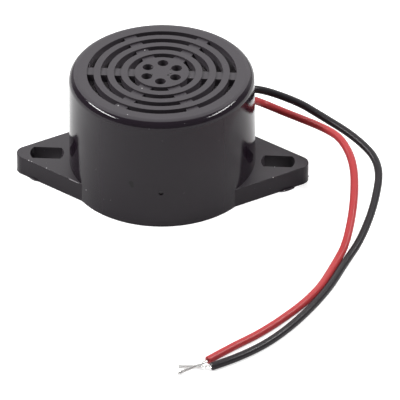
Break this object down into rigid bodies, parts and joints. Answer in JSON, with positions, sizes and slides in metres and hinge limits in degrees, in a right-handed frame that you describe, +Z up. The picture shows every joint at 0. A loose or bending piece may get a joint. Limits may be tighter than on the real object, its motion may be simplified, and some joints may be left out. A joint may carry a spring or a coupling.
{
  "type": "buzzer",
  "caption": "Round buzzer with a slotted ring grille, two slotted mounting ears and a red and a black flying lead with bare ends.",
  "frame": {"origin": "centre of the housing's base, on the surface it stands on", "axes": "+X along the two ears, +Z up out of the grille; the leads leave at +X +Y and end at +X -Y"},
  "size_m": [0.0599, 0.071, 0.0198],
  "materials": {
    "black_jacket": "soft flexible jacket",
    "board": "paper laminate",
    "brass": "rolled sheet",
    "can_sleeve": "sleeved can",
    "ceramic": "fired ceramic",
    "cover_plastic": "moulded black plastic",
    "diode_glass": "fused glass",
    "enamelled_wire": "enamelled copper wire",
    "ferrite": "sintered ferrite",
    "hot_melt": "hot-melt adhesive",
    "housing_plastic": "moulded black plastic with a light gloss",
    "moulded_case": "moulded epoxy",
    "red_jacket": "soft flexible jacket",
    "resistor_lacquer": "lacquered body",
    "silicone": "cured sealant",
    "silver": "printed silver",
    "solder": "solder",
    "tinned_wire": "tinned copper",
    "white_jacket": "soft flexible jacket"
  },
  "bodies": {
    "root": {"base_cover": "cover_plastic", "bias_resistor": "resistor_lacquer", "bias_resistor_legs": "tinned_wire", "black_conductor": "tinned_wire", "black_lead": "black_jacket", "board_glue": "hot_melt", "board_solder": "solder", "capacitor": "can_sleeve", "capacitor_legs": "tinned_wire", "circuit_board": "board", "coil_core": "ferrite", "coil_legs": "tinned_wire", "coil_winding": "enamelled_wire", "damping_resistor": "resistor_lacquer", "damping_resistor_legs": "tinned_wire", "disc_seal": "silicone", "drive_electrode": "silver", "drive_wire": "red_jacket", "feedback_electrode": "silver", "feedback_resistor": "resistor_lacquer", "feedback_resistor_legs": "tinned_wire", "feedback_wire": "white_jacket", "ground_wire": "black_jacket", "housing": "housing_plastic", "lead_anchor": "hot_melt", "piezo_ceramic": "ceramic", "piezo_plate": "brass", "piezo_solder": "solder", "protection_diode": "diode_glass", "protection_diode_legs": "tinned_wire", "red_conductor": "tinned_wire", "red_lead": "red_jacket", "transistor": "moulded_case", "transistor_legs": "tinned_wire", "wire_tails": "tinned_wire"}
  },
  "joints": []
}
